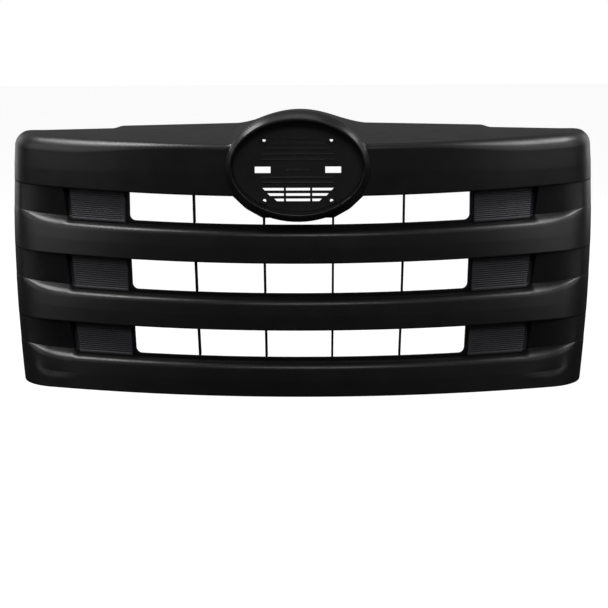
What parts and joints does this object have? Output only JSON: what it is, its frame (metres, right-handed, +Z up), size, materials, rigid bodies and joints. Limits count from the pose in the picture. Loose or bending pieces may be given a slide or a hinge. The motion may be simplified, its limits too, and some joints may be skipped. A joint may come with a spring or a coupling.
{
  "type": "front grille",
  "caption": "Wide bowed front grille for a bonneted truck, with slatted openings, ribbed end inserts, an oval emblem housing and rear mounting studs with rubber washers.",
  "frame": {"origin": "on the floor plane under the middle of the part's box, level with the bottom edge of the valance", "axes": "+Z up, -Y is the direction the grille faces, +X to the right of someone looking at its front"},
  "size_m": [1.484, 0.4116, 0.699],
  "materials": {
    "black_plastic": "satin",
    "grid_plastic": "satin",
    "insert_plastic": "satin",
    "recess_plastic": "matte",
    "zinc_steel": "zinc plated",
    "rubber": "matte"
  },
  "bodies": {
    "grille": {"header_panel": "black_plastic", "upper_bar_panel": "black_plastic", "lower_bar_panel": "black_plastic", "valance_panel": "black_plastic", "emblem_bezel": "black_plastic", "emblem_plate": "recess_plastic", "vent_grid_upper": "grid_plastic", "vent_grid_middle": "grid_plastic", "vent_grid_lower": "grid_plastic", "ribbed_insert_left_upper": "insert_plastic", "ribbed_insert_left_middle": "insert_plastic", "ribbed_insert_left_lower": "insert_plastic", "ribbed_insert_right_upper": "insert_plastic", "ribbed_insert_right_middle": "insert_plastic", "ribbed_insert_right_lower": "insert_plastic", "mounting_studs": "zinc_steel"},
    "rubber_washer_01_body": {"rubber_washer_01": "rubber"},
    "rubber_washer_02_body": {"rubber_washer_02": "rubber"},
    "rubber_washer_03_body": {"rubber_washer_03": "rubber"},
    "rubber_washer_04_body": {"rubber_washer_04": "rubber"},
    "rubber_washer_05_body": {"rubber_washer_05": "rubber"},
    "rubber_washer_06_body": {"rubber_washer_06": "rubber"},
    "rubber_washer_07_body": {"rubber_washer_07": "rubber"},
    "rubber_washer_08_body": {"rubber_washer_08": "rubber"},
    "rubber_washer_09_body": {"rubber_washer_09": "rubber"},
    "rubber_washer_10_body": {"rubber_washer_10": "rubber"},
    "rubber_washer_11_body": {"rubber_washer_11": "rubber"}
  },
  "joints": [
    {"name": "rubber_washer_01_slide", "type": "slide", "parent": "grille", "child": "rubber_washer_01_body", "axis": [0, 1, 0], "range_m": [0, 0.05]},
    {"name": "rubber_washer_02_slide", "type": "slide", "parent": "grille", "child": "rubber_washer_02_body", "axis": [0, 1, 0], "range_m": [0, 0.05]},
    {"name": "rubber_washer_03_slide", "type": "slide", "parent": "grille", "child": "rubber_washer_03_body", "axis": [0, 1, 0], "range_m": [0, 0.05]},
    {"name": "rubber_washer_04_slide", "type": "slide", "parent": "grille", "child": "rubber_washer_04_body", "axis": [0, 1, 0], "range_m": [0, 0.05]},
    {"name": "rubber_washer_05_slide", "type": "slide", "parent": "grille", "child": "rubber_washer_05_body", "axis": [0, 1, 0], "range_m": [0, 0.05]},
    {"name": "rubber_washer_06_slide", "type": "slide", "parent": "grille", "child": "rubber_washer_06_body", "axis": [0, 1, 0], "range_m": [0, 0.05]},
    {"name": "rubber_washer_07_slide", "type": "slide", "parent": "grille", "child": "rubber_washer_07_body", "axis": [0, 1, 0], "range_m": [0, 0.05]},
    {"name": "rubber_washer_08_slide", "type": "slide", "parent": "grille", "child": "rubber_washer_08_body", "axis": [0, 1, 0], "range_m": [0, 0.05]},
    {"name": "rubber_washer_09_slide", "type": "slide", "parent": "grille", "child": "rubber_washer_09_body", "axis": [0, 1, 0], "range_m": [0, 0.05]},
    {"name": "rubber_washer_10_slide", "type": "slide", "parent": "grille", "child": "rubber_washer_10_body", "axis": [0, 1, 0], "range_m": [0, 0.05]},
    {"name": "rubber_washer_11_slide", "type": "slide", "parent": "grille", "child": "rubber_washer_11_body", "axis": [0, 1, 0], "range_m": [0, 0.05]}
  ]
}
